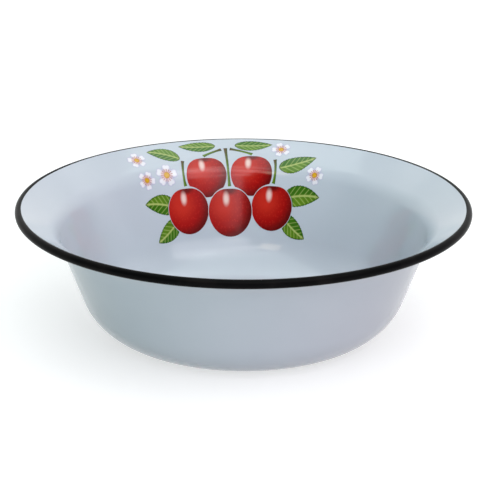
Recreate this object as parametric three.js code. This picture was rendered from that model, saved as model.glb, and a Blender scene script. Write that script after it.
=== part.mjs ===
// An enamel bowl: one pressed steel sheet, its fired enamel coats and a fired fruit print.
// Millimetres and degrees, +Z up, the table at Z = 0 and the bowl's axis on the Z axis.
import * as THREE from "three";

// Driving dimensions of the sheet
const RIM_DIAMETER = 300; // over the black bead
const BOWL_HEIGHT = 88; // from the table to the top of the bead
const BEAD_DIAMETER = 5.75; // over the black enamel
const BEAD_MOUTH = 0.5; // slot left between the end of the curl and the flange
const FLANGE_LENGTH = 19; // straight part of the flared flange
const FLANGE_ANGLE = 32; // its rise above level
const BEND_RADIUS = 20; // between the wall and the flange
const WALL_ANGLE = 70; // rise of the wall above level
const CORNER_RADIUS = 39; // between the standing ring and the wall
const RING_WIDTH = 8; // flat ring that the bowl stands on
const PANEL_RISE = 1.5; // how far the middle of the base is pressed up
const STEP_RADIUS = 3; // both bends of the step round the base panel

// Driving dimensions of the layers
const STEEL_THICKNESS = 0.6;
const GROUND_THICKNESS = 0.1; // dark first coat
const COVER_THICKNESS = 0.2; // white second coat
const BOND_GAP = 0.05; // modelling gap between fired layers
const BLACK_START = 21; // where the black begins, inward of the bead's top

// Driving dimensions of the print
const PRINT_WIDTH = 148; // along the wall
const PRINT_TOP = 9; // from the black edge down to the print's reference line
const PRINT_TURN = 5; // its middle, left of the bowl's back as seen from the front
const FILM_THICKNESS = 0.15;
const FILM_GAP = 0.3; // modelling gap under each film

// How finely round forms are cut
const SIDES = 40;
const STEP_CUTS = 1;
const CORNER_CUTS = 5;
const BEND_CUTS = 3;
const CURL_CUTS = 10;
const CHERRY_SIDES = 24;
const CHERRY_RINGS = 4;
const LEAF_SIDES = 16;
const LEAF_RINGS = 4;
const BLOSSOM_SIDES = 30;
const BLOSSOM_RINGS = 2;
const HEART_SIDES = 10;
const STALK_CUTS = 9;

// The print's design, in shares of its width: x to the right of its middle, y down from its top
const DIMPLE = 0.07; // of a cherry's radius
const DIMPLE_SPREAD = 0.4; // in radians
const BEHIND_CLEARANCE = 0.003; // between a cherry and what shows from behind it
const STALK_WIDTH = 0.012;
const STALK_CLEARANCE = 0.012;
const LEAF_BASE_POWER = 0.6; // how full a leaf is toward its base
const LEAF_TIP_POWER = 0.9; // how sharp its tip is
const LEAF_MIDDLE = 0.45; // of a leaf's length
const PETALS = 5;
const PETAL_ROUNDING = 0.55;
const CLEFT_REACH = 0.5; // of a blossom's radius, between two petals
const NOTCH_DEPTH = 0.09; // of a blossom's radius, in the tip of each petal
const NOTCH_SPREAD = 0.12; // in radians
const HEART_SHARE = 0.26; // of a blossom's radius
const HEART_CLEARANCE = 0.06; // of a blossom's radius
// The cherries, the front one first, each with the place where its stalk begins
const CHERRIES = [
  { x: 0, y: 0.337, radius: 0.122, joint: [-0.01, -0.002], bow: 0.01 },
  { x: -0.238, y: 0.317, radius: 0.116, joint: [-0.228, 0.064], bow: 0.12 },
  { x: 0.234, y: 0.313, radius: 0.114, joint: [0.23, 0.068], bow: -0.12 },
  { x: -0.12, y: 0.155, radius: 0.106, joint: [-0.03, 0.006], bow: 0.04 },
  { x: 0.116, y: 0.151, radius: 0.108, joint: [0.01, 0.004], bow: -0.04 },
];
const LEAVES = [
  { x: -0.3, y: 0.3, length: 0.195, width: 0.102, way: 193, bow: 0.05 },
  { x: -0.3, y: 0.355, length: 0.18, width: 0.092, way: 148, bow: -0.05 },
  { x: -0.056, y: -0.018, length: 0.17, width: 0.064, way: 184, bow: -0.04 },
  { x: 0.034, y: -0.019, length: 0.172, width: 0.064, way: -3, bow: 0.04 },
  { x: 0.258, y: 0.116, length: 0.19, width: 0.092, way: -26, bow: 0.05 },
  { x: 0.29, y: 0.268, length: 0.21, width: 0.108, way: -8, bow: -0.05 },
  { x: 0.295, y: 0.35, length: 0.18, width: 0.095, way: 34, bow: 0.05 },
  { x: -0.238, y: 0.05, length: 0.16, width: 0.076, way: 206, bow: 0.05 },
];
const BLOSSOMS = [
  { x: -0.332, y: 0.132, radius: 0.062, turn: 10 },
  { x: -0.449, y: 0.142, radius: 0.052, turn: 30 },
  { x: 0.25, y: 0, radius: 0.048, turn: 50 },
  { x: -0.45, y: 0.02, radius: 0.05, turn: 0 },
  { x: 0.45, y: 0.134, radius: 0.052, turn: 20 },
];

const radians = THREE.MathUtils.degToRad;

// Distances of each layer's faces from the middle of the sheet
const HALF_STEEL = STEEL_THICKNESS / 2;
const GROUND_FROM = HALF_STEEL + BOND_GAP;
const GROUND_TO = GROUND_FROM + GROUND_THICKNESS;
const COVER_FROM = GROUND_TO + BOND_GAP;
const FACE = COVER_FROM + COVER_THICKNESS;

const steelLook = new THREE.MeshStandardMaterial({ color: 0x8f9499, metalness: 1, roughness: 0.4 });
const groundLook = new THREE.MeshStandardMaterial({ color: 0x23262d, roughness: 0.4 });
const whiteLook = new THREE.MeshStandardMaterial({ color: 0xd9dfe9, roughness: 0.15 });
const blackLook = new THREE.MeshStandardMaterial({ color: 0x121214, roughness: 0.15 });
const cherryLook = new THREE.MeshStandardMaterial({ color: 0xb3161c, roughness: 0.2 });
const leafLook = new THREE.MeshStandardMaterial({ color: 0x5c9630, roughness: 0.2 });
const stalkLook = new THREE.MeshStandardMaterial({ color: 0x466e28, roughness: 0.2 });
const petalLook = new THREE.MeshStandardMaterial({ color: 0xf3f1f6, roughness: 0.2 });
const heartLook = new THREE.MeshStandardMaterial({ color: 0xe4a92c, roughness: 0.2 });

// A walk along the middle of the sheet, seen in section: each station has a place and a heading.
class SheetWalk {
  constructor(radius, height) {
    this.radius = radius;
    this.height = height;
    this.heading = 0;
    this.stations = [];
    this.mark();
  }

  mark() {
    this.stations.push({ radius: this.radius, height: this.height, heading: radians(this.heading) });
  }

  line(length) {
    this.radius += length * Math.cos(radians(this.heading));
    this.height += length * Math.sin(radians(this.heading));
    this.mark();
  }

  // A bend to the given heading; the sheet turns up where the heading grows and down where it falls.
  bend(radius, heading, cuts) {
    const start = this.heading;
    const side = heading > start ? 1 : -1;
    const centreRadius = this.radius - side * radius * Math.sin(radians(start));
    const centreHeight = this.height + side * radius * Math.cos(radians(start));
    for (let cut = 1; cut <= cuts; cut++) {
      this.heading = start + ((heading - start) * cut) / cuts;
      this.radius = centreRadius + side * radius * Math.sin(radians(this.heading));
      this.height = centreHeight - side * radius * Math.cos(radians(this.heading));
      this.mark();
    }
  }
}

// How far a bend carries the sheet outward and upward
function bendRun(radius, from, to) {
  return radius * Math.abs(Math.sin(radians(to)) - Math.sin(radians(from)));
}

function bendRise(radius, from, to) {
  return radius * Math.abs(Math.cos(radians(to)) - Math.cos(radians(from)));
}

// The curl's circle, and the heading at which its end leaves the mouth open
const CURL_RADIUS = BEAD_DIAMETER / 2 - FACE;
const CURL_CENTRE = RIM_DIAMETER / 2 - BEAD_DIAMETER / 2;
const CURL_HEIGHT = BOWL_HEIGHT - BEAD_DIAMETER / 2;
const MOUTH_COSINE = (CURL_RADIUS - FACE - BEAD_MOUTH) / (CURL_RADIUS + FACE);
const CURL_END = FLANGE_ANGLE - 360 + THREE.MathUtils.radToDeg(Math.acos(MOUTH_COSINE));

// The wall's length follows from the height, and the base's radius from the rim
const flangeEndRadius = CURL_CENTRE - CURL_RADIUS * Math.sin(radians(FLANGE_ANGLE));
const flangeEndHeight = CURL_HEIGHT + CURL_RADIUS * Math.cos(radians(FLANGE_ANGLE));
const cornerRise = bendRise(CORNER_RADIUS, 0, WALL_ANGLE);
const flangeBendRise = bendRise(BEND_RADIUS, WALL_ANGLE, FLANGE_ANGLE);
const flangeRise = FLANGE_LENGTH * Math.sin(radians(FLANGE_ANGLE));
const wallRise = flangeEndHeight - FACE - cornerRise - flangeBendRise - flangeRise;
const wallLength = wallRise / Math.sin(radians(WALL_ANGLE));
const cornerRun = bendRun(CORNER_RADIUS, 0, WALL_ANGLE);
const wallRun = wallLength * Math.cos(radians(WALL_ANGLE));
const flangeBendRun = bendRun(BEND_RADIUS, WALL_ANGLE, FLANGE_ANGLE);
const flangeRun = FLANGE_LENGTH * Math.cos(radians(FLANGE_ANGLE));
const baseRadius = flangeEndRadius - flangeRun - flangeBendRun - wallRun - cornerRun;
const stepAngle = THREE.MathUtils.radToDeg(Math.acos(1 - PANEL_RISE / (2 * STEP_RADIUS)));
const stepRun = 2 * bendRun(STEP_RADIUS, 0, stepAngle);

const walk = new SheetWalk(0, FACE + PANEL_RISE);
walk.line(baseRadius - RING_WIDTH - stepRun);
walk.bend(STEP_RADIUS, -stepAngle, STEP_CUTS);
walk.bend(STEP_RADIUS, 0, STEP_CUTS);
walk.line(RING_WIDTH);
walk.bend(CORNER_RADIUS, WALL_ANGLE, CORNER_CUTS);
walk.line(wallLength);
walk.bend(BEND_RADIUS, FLANGE_ANGLE, BEND_CUTS);
walk.line(FLANGE_LENGTH);
const flangeEnd = walk.stations.length;
walk.bend(CURL_RADIUS, BLACK_START, 1);
const blackEdge = walk.stations.length;
walk.bend(CURL_RADIUS, CURL_END, CURL_CUTS);

// A station moved off the sheet's middle, toward the inside of the bowl where the distance is positive
function offset(station, distance) {
  return new THREE.Vector2(
    station.radius - distance * Math.sin(station.heading),
    station.height + distance * Math.cos(station.heading),
  );
}

// The stations with the last one drawn back along the sheet
function drawnBack(stations, distance) {
  const last = stations[stations.length - 1];
  const before = stations[stations.length - 2];
  const length = Math.hypot(last.radius - before.radius, last.height - before.height);
  const back = distance / length;
  const radius = THREE.MathUtils.lerp(last.radius, before.radius, back);
  const height = THREE.MathUtils.lerp(last.height, before.height, back);
  return [...stations.slice(0, -1), { radius, height, heading: last.heading }];
}

const bowl = new THREE.Group();
bowl.name = "enamel_bowl";
bowl.rotation.x = Math.PI / 2;

function add(name, geometry, material) {
  const mesh = new THREE.Mesh(geometry, material);
  mesh.name = name;
  bowl.add(mesh);
}

// One round layer between two distances from the sheet's middle
function addLayer(name, stations, lower, upper, material) {
  const under = stations.map((station) => offset(station, lower));
  const over = stations.map((station) => offset(station, upper)).reverse();
  const profile = [...under, ...over];
  if (profile[0].x > 0) profile.push(profile[0]);
  add(name, new THREE.LatheGeometry(profile, SIDES), material);
}

const toFlangeEnd = walk.stations.slice(0, flangeEnd);
const toBlackEdge = drawnBack(walk.stations.slice(0, blackEdge), BOND_GAP);
const roundCurl = walk.stations.slice(blackEdge - 1);

addLayer("steel_bowl", walk.stations, -HALF_STEEL, HALF_STEEL, steelLook);
addLayer("ground_coat_inside", toBlackEdge, GROUND_FROM, GROUND_TO, groundLook);
addLayer("ground_coat_outside", toFlangeEnd, -GROUND_TO, -GROUND_FROM, groundLook);
addLayer("white_enamel_inside", toBlackEdge, COVER_FROM, FACE, whiteLook);
addLayer("white_enamel_outside", toFlangeEnd, -FACE, -COVER_FROM, whiteLook);
addLayer("black_rim_enamel", roundCurl, GROUND_FROM, FACE, blackLook);

// The inside face in section, from the black edge down, with the length run so far at each corner
const slope = [];
for (const station of [...toBlackEdge].reverse()) {
  const place = offset(station, FACE);
  const before = slope[slope.length - 1];
  const run = before ? before.run + before.place.distanceTo(place) : 0;
  slope.push({ place, run });
}

// The section's place and direction at a length below the black edge
function downSlope(length) {
  const next = slope.findIndex((corner) => corner.run > length);
  const lower = slope[next];
  const upper = slope[next - 1];
  const share = (length - upper.run) / (lower.run - upper.run);
  const place = upper.place.clone().lerp(lower.place, share);
  const direction = lower.place.clone().sub(upper.place).normalize();
  return { place, direction };
}

const sideAngle = (2 * Math.PI) / SIDES;
const printMiddle = Math.PI + radians(PRINT_TURN);
const printRadius = offset(walk.stations[flangeEnd - 2], FACE).x;

// A point of the print's plane, lifted off the inside face
function onWall(x, y, lift) {
  const { place, direction } = downSlope(PRINT_TOP + y * PRINT_WIDTH);
  const angle = printMiddle - (x * PRINT_WIDTH) / printRadius;
  const withinSide = (angle % sideAngle) - sideAngle / 2;
  const flatness = Math.cos(sideAngle / 2) / Math.cos(withinSide);
  const radius = (place.x + lift * direction.y) * flatness;
  const height = place.y - lift * direction.x;
  return [radius * Math.sin(angle), height, radius * Math.cos(angle)];
}

const FILM_TOP = FILM_GAP + FILM_THICKNESS;

// Moves each vertex of a film from the print's plane onto the wall
function layOnWall(geometry, toPrint) {
  const places = geometry.attributes.position;
  const turns = geometry.attributes.uv;
  for (let index = 0; index < places.count; index++) {
    const vertex = new THREE.Vector3().fromBufferAttribute(places, index);
    const [x, y, lift] = toPrint(vertex, turns.getX(index));
    places.setXYZ(index, ...onWall(x, y, lift));
  }
  return geometry;
}

// A film cut into rings between an inner outline and an outer one; a disc's inner outline is a point
function addFilm(name, inner, outer, sides, rings, material) {
  const section = [];
  for (let ring = 0; ring <= rings; ring++) {
    section.push(new THREE.Vector2(ring / rings, FILM_TOP));
  }
  for (let ring = rings; ring >= 0; ring--) {
    section.push(new THREE.Vector2(ring / rings, FILM_GAP));
  }
  const isDisc = inner(0).equals(inner(Math.PI));
  if (!isDisc) section.push(section[0]);
  const flat = new THREE.LatheGeometry(section, sides);
  const geometry = layOnWall(flat, (vertex, turn) => {
    const share = Math.hypot(vertex.x, vertex.z);
    const angle = turn * 2 * Math.PI;
    const point = inner(angle).lerp(outer(angle), share);
    return [point.x, point.y, vertex.y];
  });
  add(name, geometry, material);
}

// A point round a middle: angle zero is up, and grows to the right
function round(middle, reach, angle) {
  return new THREE.Vector2(middle.x + reach * Math.sin(angle), middle.y - reach * Math.cos(angle));
}

// The shortest way to the nearest multiple of a period
function fromNearest(angle, period) {
  return angle - period * Math.round(angle / period);
}

// A point that would lie behind one of the cherries is moved out to just beyond its outline
function clearOf(cherries, point) {
  for (const cherry of cherries) {
    const away = point.clone().sub(cherry);
    away.setLength(Math.max(away.length(), cherry.radius + BEHIND_CLEARANCE));
    point.copy(cherry).add(away);
  }
  return point;
}

function cherryEdge(cherry, inFront, angle) {
  const fromTop = fromNearest(angle, 2 * Math.PI) / DIMPLE_SPREAD;
  const reach = cherry.radius * (1 - DIMPLE * Math.exp(-(fromTop ** 2)));
  return clearOf(inFront, round(cherry, reach, angle));
}

// A point of a leaf, by its share of the length from the base and its distance from the rib
function leafPoint(leaf, share, distance) {
  const way = radians(leaf.way);
  const rib = leaf.bow * leaf.length * 4 * share * (1 - share);
  const place = new THREE.Vector2(leaf.length * share, rib + distance);
  return place.rotateAround(new THREE.Vector2(), way).add(leaf);
}

// A leaf is round at its base, widest nearer to it and pointed at its tip
function leafEdge(leaf, angle) {
  const share = (1 - Math.cos(angle)) / 2;
  const side = Math.sin(angle) < 0 ? 1 : -1;
  const widestAt = LEAF_BASE_POWER / (LEAF_BASE_POWER + LEAF_TIP_POWER);
  const swell = (at) => at ** LEAF_BASE_POWER * (1 - at) ** LEAF_TIP_POWER;
  const halfWidth = ((leaf.width / 2) * swell(share)) / swell(widestAt);
  return clearOf(CHERRIES, leafPoint(leaf, share, side * halfWidth));
}

function blossomEdge(blossom, angle) {
  const fromPetal = fromNearest(angle - radians(blossom.turn), (2 * Math.PI) / PETALS);
  const petal = Math.abs(Math.cos((PETALS / 2) * fromPetal)) ** PETAL_ROUNDING;
  const notch = NOTCH_DEPTH * Math.exp(-((fromPetal / NOTCH_SPREAD) ** 2));
  return round(blossom, blossom.radius * (CLEFT_REACH + (1 - CLEFT_REACH) * petal - notch), angle);
}

// A stalk bows from its joint to just above its cherry's dimple
function addStalk(name, cherry) {
  const start = new THREE.Vector2(...cherry.joint);
  const end = round(cherry, cherry.radius * (1 - DIMPLE) + STALK_CLEARANCE, 0);
  const across = new THREE.Vector2(start.y - end.y, end.x - start.x);
  const middle = start.clone().lerp(end, 0.5).addScaledVector(across, cherry.bow);
  const rib = new THREE.QuadraticBezierCurve(start, middle, end);
  const bar = new THREE.BoxGeometry(STALK_WIDTH, FILM_THICKNESS, 1, 1, 1, STALK_CUTS);
  const geometry = layOnWall(bar, (vertex) => {
    const share = vertex.z + 0.5;
    const direction = rib.getTangent(share);
    const point = rib.getPoint(share);
    const x = point.x + vertex.x * direction.y;
    const y = point.y - vertex.x * direction.x;
    return [x, y, FILM_GAP + FILM_THICKNESS / 2 + vertex.y];
  });
  add(name, geometry, stalkLook);
}

CHERRIES.forEach((cherry, index) => {
  const middle = () => new THREE.Vector2(cherry.x, cherry.y);
  const inFront = CHERRIES.slice(0, index);
  const edge = (angle) => cherryEdge(cherry, inFront, angle);
  addFilm(`print_cherry_${index + 1}`, middle, edge, CHERRY_SIDES, CHERRY_RINGS, cherryLook);
  addStalk(`print_stalk_${index + 1}`, cherry);
});

LEAVES.forEach((leaf, index) => {
  const middle = () => leafPoint(leaf, LEAF_MIDDLE, 0);
  const edge = (angle) => leafEdge(leaf, angle);
  addFilm(`print_leaf_${index + 1}`, middle, edge, LEAF_SIDES, LEAF_RINGS, leafLook);
});

BLOSSOMS.forEach((blossom, index) => {
  const middle = () => new THREE.Vector2(blossom.x, blossom.y);
  const heart = (angle) => round(blossom, blossom.radius * HEART_SHARE, angle);
  const hole = (angle) => round(blossom, blossom.radius * (HEART_SHARE + HEART_CLEARANCE), angle);
  const edge = (angle) => blossomEdge(blossom, angle);
  addFilm(`print_blossom_${index + 1}`, hole, edge, BLOSSOM_SIDES, BLOSSOM_RINGS, petalLook);
  addFilm(`print_heart_${index + 1}`, middle, heart, HEART_SIDES, 1, heartLook);
});

const part = new THREE.Group();
part.add(bowl);

export default part;
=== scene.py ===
"""The finished enamel bowl: fired coats over a pressed sheet, a fired fruit print and a pale studio."""

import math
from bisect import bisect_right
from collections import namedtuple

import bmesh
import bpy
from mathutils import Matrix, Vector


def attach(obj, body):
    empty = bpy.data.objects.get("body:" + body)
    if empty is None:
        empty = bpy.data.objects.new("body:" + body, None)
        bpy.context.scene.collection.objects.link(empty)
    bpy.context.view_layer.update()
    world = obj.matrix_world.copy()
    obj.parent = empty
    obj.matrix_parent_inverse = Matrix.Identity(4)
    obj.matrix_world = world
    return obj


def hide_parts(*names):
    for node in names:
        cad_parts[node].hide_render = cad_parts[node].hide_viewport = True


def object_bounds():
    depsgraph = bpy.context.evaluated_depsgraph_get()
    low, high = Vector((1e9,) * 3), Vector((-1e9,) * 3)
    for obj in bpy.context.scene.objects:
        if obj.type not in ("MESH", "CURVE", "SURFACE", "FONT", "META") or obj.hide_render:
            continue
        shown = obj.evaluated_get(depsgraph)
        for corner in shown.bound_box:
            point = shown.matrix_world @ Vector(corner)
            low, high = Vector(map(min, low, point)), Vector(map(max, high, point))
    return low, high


bl_info = {
    "name": "Enamel Bowl",
    "version": (1, 0, 0),
    "blender": (4, 5, 0),
    "location": "3D View > Sidebar > Bowl",
    "description": "Builds the enamel bowl's fired coats, its fruit print and a pale studio",
    "category": "Object",
}

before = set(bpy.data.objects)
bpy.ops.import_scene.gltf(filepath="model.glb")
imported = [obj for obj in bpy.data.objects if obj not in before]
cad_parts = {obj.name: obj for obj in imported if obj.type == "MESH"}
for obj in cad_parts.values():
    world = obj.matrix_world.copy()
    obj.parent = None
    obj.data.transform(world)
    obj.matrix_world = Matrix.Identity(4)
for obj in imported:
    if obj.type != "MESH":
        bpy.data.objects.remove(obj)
CAD_LOW, CAD_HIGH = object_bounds()

MM = 0.001
TURN = 2 * math.pi
BODY = "root"

# How finely round forms are cut
ROUND_CUTS = 180
BEND_STEP = math.radians(2.5)
CURL_STEP = math.radians(9)
EDGE_CUTS = 3
SHARP_ANGLE = math.radians(40)
ON_AXIS = 0.001 * MM

# How finely each kind of film is cut: rows from its middle or start, and columns round or across it
CHERRY_CUTS = (14, 96)
STALK_CUTS = (36, 4)
LEAF_CUTS = (12, 208)
BLOSSOM_CUTS = (8, 160)
HEART_CUTS = (4, 40)
SAME_POINT = 7  # decimals by which two points of the design are one

# How far the black edge wanders along the curl, as waves round the bowl: waves, share and phase
EDGE_WANDER = math.radians(5)
EDGE_WAVES = ((2, 0.6, -math.pi / 2), (3, 0.4, 0.7), (7, 0.3, 2.1), (16, 0.2, 4.0))

# The print's design, in shares of its width: x to the right of its middle, y down from its top
Cherry = namedtuple("Cherry", "x y radius joint bow")
Leaf = namedtuple("Leaf", "x y length width way bow")
Blossom = namedtuple("Blossom", "x y radius turn")
# The cherries, the front one first, each with the place where its stalk begins
CHERRIES = (
    Cherry(0, 0.337, 0.122, (-0.01, -0.002), 0.01),
    Cherry(-0.238, 0.317, 0.116, (-0.228, 0.064), 0.12),
    Cherry(0.234, 0.313, 0.114, (0.23, 0.068), -0.12),
    Cherry(-0.12, 0.155, 0.106, (-0.03, 0.006), 0.04),
    Cherry(0.116, 0.151, 0.108, (0.01, 0.004), -0.04),
)
LEAVES = (
    Leaf(-0.3, 0.3, 0.195, 0.102, 193, 0.05),
    Leaf(-0.3, 0.355, 0.18, 0.092, 148, -0.05),
    Leaf(-0.056, -0.018, 0.17, 0.064, 184, -0.04),
    Leaf(0.034, -0.019, 0.172, 0.064, -3, 0.04),
    Leaf(0.258, 0.116, 0.19, 0.092, -26, 0.05),
    Leaf(0.29, 0.268, 0.21, 0.108, -8, -0.05),
    Leaf(0.295, 0.35, 0.18, 0.095, 34, 0.05),
    Leaf(-0.238, 0.05, 0.16, 0.076, 206, 0.05),
)
BLOSSOMS = (
    Blossom(-0.332, 0.132, 0.062, 10),
    Blossom(-0.449, 0.142, 0.052, 30),
    Blossom(0.25, 0, 0.048, 50),
    Blossom(-0.45, 0.02, 0.05, 0),
    Blossom(0.45, 0.134, 0.052, 20),
)
DIMPLE = 0.07  # of a cherry's radius
DIMPLE_SPREAD = 0.4  # in radians
BEHIND_CLEARANCE = 0.003  # between a cherry and what shows from behind it
STALK_WIDTH = 0.012
STALK_FLARE = 0.5  # how much wider a stalk is at both ends
STALK_CLEARANCE = 0.012
LEAF_BASE_POWER = 0.6  # how full a leaf is toward its base
LEAF_TIP_POWER = 0.9  # how sharp its tip is
LEAF_MIDDLE = 0.45  # of a leaf's length
LEAF_TEETH = 13  # on each side
TOOTH_DEPTH = 0.07  # of the leaf's half width
PETALS = 5
PETAL_ROUNDING = 0.55
CLEFT_REACH = 0.5  # of a blossom's radius, between two petals
NOTCH_DEPTH = 0.09  # of a blossom's radius, in the tip of each petal
NOTCH_SPREAD = 0.12  # in radians
HEART_SHARE = 0.26  # of a blossom's radius


def linear(hex_code):
    """Turns an sRGB hex colour into linear red, green, blue and alpha."""
    channels = [int(hex_code[start:start + 2], 16) / 255 for start in (1, 3, 5)]
    light = [c / 12.92 if c <= 0.04045 else ((c + 0.055) / 1.055) ** 2.4 for c in channels]
    return (*light, 1.0)


# What a user would change


def length(name, description, default):
    return bpy.props.FloatProperty(
        name=name, description=description, default=default, subtype="DISTANCE", unit="LENGTH", precision=5
    )


def angle(name, description, degrees):
    return bpy.props.FloatProperty(
        name=name, description=description, default=math.radians(degrees), subtype="ANGLE", unit="ROTATION"
    )


def colour(name, description, hex_code):
    return bpy.props.FloatVectorProperty(
        name=name, description=description, default=linear(hex_code), subtype="COLOR", size=4, min=0, max=1
    )


def power(name, description, watts):
    return bpy.props.FloatProperty(name=name, description=description, default=watts, min=0, unit="POWER")


class BowlSheetSizes(bpy.types.PropertyGroup):
    rim_diameter: length("Rim diameter", "Over the black bead", CAD_HIGH.x - CAD_LOW.x)
    bowl_height: length("Height", "From the table to the top of the bead", CAD_HIGH.z - CAD_LOW.z)
    bead_diameter: length("Bead diameter", "Over the black enamel", 5.75 * MM)
    bead_mouth: length("Bead mouth", "Slot between the end of the curl and the flange", 0.5 * MM)
    flange_length: length("Flange length", "Straight part of the flared flange", 19 * MM)
    flange_angle: angle("Flange angle", "Rise of the flange above level", 32)
    bend_radius: length("Bend radius", "Between the wall and the flange", 20 * MM)
    wall_angle: angle("Wall angle", "Rise of the wall above level", 70)
    corner_radius: length("Corner radius", "Between the standing ring and the wall", 39 * MM)
    ring_width: length("Ring width", "Flat ring that the bowl stands on", 8 * MM)
    panel_rise: length("Panel rise", "How far the middle of the base is pressed up", 1.5 * MM)
    step_radius: length("Step radius", "Both bends of the step round the base panel", 3 * MM)
    steel_thickness: length("Steel", "Thickness of the pressed sheet", 0.6 * MM)
    ground_thickness: length("Ground coat", "Thickness of the dark first coat", 0.1 * MM)
    cover_thickness: length("Cover coat", "Thickness of the white second coat", 0.2 * MM)
    bond_gap: length("Bond gap", "Modelling gap between fired layers", 0.05 * MM)
    black_edge: angle("Black edge", "Where the black begins, inward of the bead's top", 21)


class BowlPrintSizes(bpy.types.PropertyGroup):
    width: length("Print width", "Along the wall", 148 * MM)
    top: length("Print top", "From the black edge down to the print's reference line", 9 * MM)
    turn: angle("Print turn", "Its middle, left of the bowl's back as seen from the front", 5)
    film_gap: length("Film gap", "From the white enamel to the film", 0.03 * MM)
    film_thickness: length("Film thickness", "Thickness of one fired film", 0.05 * MM)


class BowlColours(bpy.types.PropertyGroup):
    white: colour("White", "White cover enamel", "#D1D8E1")
    cloud: colour("White cloud", "Its slightly thinner, bluer patches", "#C8D0DB")
    speck: colour("Speck", "Tiny burnt specks in the white", "#727A84")
    black: colour("Black", "Black rim enamel", "#0B0B0C")
    black_thin: colour("Thin black", "Where the black enamel runs thin", "#1A1717")
    ground: colour("Ground", "Dark ground enamel", "#1E2533")
    steel: colour("Steel", "Bare pressed steel", "#8F9499")
    cherry: colour("Cherry", "Body of a cherry", "#AE0C0B")
    cherry_light: colour("Cherry light", "Its lit side", "#D02C1E")
    cherry_dark: colour("Cherry dark", "Its turned edge and dimple", "#5E080A")
    cherry_shine: colour("Cherry shine", "Its painted highlight", "#FFE6DE")
    leaf: colour("Leaf", "Body of a leaf", "#427616")
    leaf_light: colour("Leaf light", "Its lighter half", "#7DA12C")
    leaf_dark: colour("Leaf dark", "Its edge and base", "#224C0E")
    vein: colour("Vein", "Rib and veins of a leaf", "#BCC873")
    stalk: colour("Stalk", "Stalk near the cherry", "#618320")
    stalk_brown: colour("Stalk joint", "Stalk near its joint", "#5C4120")
    petal: colour("Petal", "Body of a petal", "#F6F4FA")
    petal_shade: colour("Petal shade", "Folds and edge of a petal", "#A9A6CC")
    petal_blush: colour("Petal blush", "Petals near the heart", "#EEC0C3")
    stamen: colour("Stamen", "Stamens over the petals", "#9C5A2A")
    heart: colour("Heart", "Heart of a blossom", "#E9B72F")
    heart_dot: colour("Heart dots", "Anthers in the heart", "#AD611C")
    floor: colour("Floor", "Pale studio floor", "#CBCBCB")


class BowlStudio(bpy.types.PropertyGroup):
    camera_distance: length("Camera distance", "From the camera to the rim's middle", 1200 * MM)
    camera_elevation: angle("Camera elevation", "Above the rim's middle", 18.31)
    aim_height: length("Aim height", "Height of the point that the camera looks at", 53.7 * MM)
    aim_right: length("Aim right", "That point, right of the bowl's axis", 4.3 * MM)
    camera_roll: angle("Camera roll", "How far the camera leans", 0.281)
    lens: bpy.props.FloatProperty(
        name="Lens", description="Focal length", default=130.9, subtype="DISTANCE_CAMERA", unit="CAMERA"
    )
    overhead_power: power("Overhead", "Large softbox straight above", 10.3)
    rear_power: power("Rear", "Softbox high behind the bowl", 3.2)
    top_power: power("Top", "Long softbox high in front", 3.0)
    key_power: power("Key", "Softbox at the front right", 8.8)
    left_power: power("Left strip", "Low cool strip at the front left", 8.5)
    right_power: power("Right strip", "Low rosy strip at the front right", 9.0)
    back_power: power("Back", "Wide low panel behind the bowl", 28.0)
    catch_power: power("Catch light", "Small lamp that leaves a glint in the glaze", 0.2)
    warm_power: power("Warm catch light", "Small warm lamp that only leaves a second glint", 0.9)
    overhead_tint: colour("Overhead tint", "Colour of the overhead softbox", "#F0FFFD")
    key_tint: colour("Key tint", "Colour of the key", "#FFF8FD")
    warm_tint: colour("Warm tint", "Colour of the warm catch light", "#FFE7C4")
    left_tint: colour("Left tint", "Colour of the left strip", "#D8FFF7")
    right_tint: colour("Right tint", "Colour of the right strip", "#FFE9F8")
    left_sky: colour("Left sky", "Soft cool light from the left", "#304541")
    right_sky: colour("Right sky", "Soft light from the right", "#3F3B3C")


# The sheet in section

Station = namedtuple("Station", "radius height heading")


def offset(station, distance):
    """Moves a station off the sheet's middle, toward the inside of the bowl where distance is positive."""
    radius = station.radius - distance * math.sin(station.heading)
    height = station.height + distance * math.cos(station.heading)
    return radius, height


def walk_line(stations, run):
    last = stations[-1]
    radius = last.radius + run * math.cos(last.heading)
    height = last.height + run * math.sin(last.heading)
    stations.append(Station(radius, height, last.heading))


def walk_bend(stations, bend_radius, heading):
    """The sheet turns up where the heading grows and down where it falls."""
    start = stations[-1]
    side = 1 if heading > start.heading else -1
    centre_radius = start.radius - side * bend_radius * math.sin(start.heading)
    centre_height = start.height + side * bend_radius * math.cos(start.heading)
    cuts = math.ceil(abs(heading - start.heading) / BEND_STEP)
    for cut in range(1, cuts + 1):
        turned = start.heading + (heading - start.heading) * cut / cuts
        radius = centre_radius + side * bend_radius * math.sin(turned)
        height = centre_height - side * bend_radius * math.cos(turned)
        stations.append(Station(radius, height, turned))


def bend_run(bend_radius, start, end):
    return bend_radius * abs(math.sin(end) - math.sin(start))


def bend_rise(bend_radius, start, end):
    return bend_radius * abs(math.cos(end) - math.cos(start))


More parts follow.
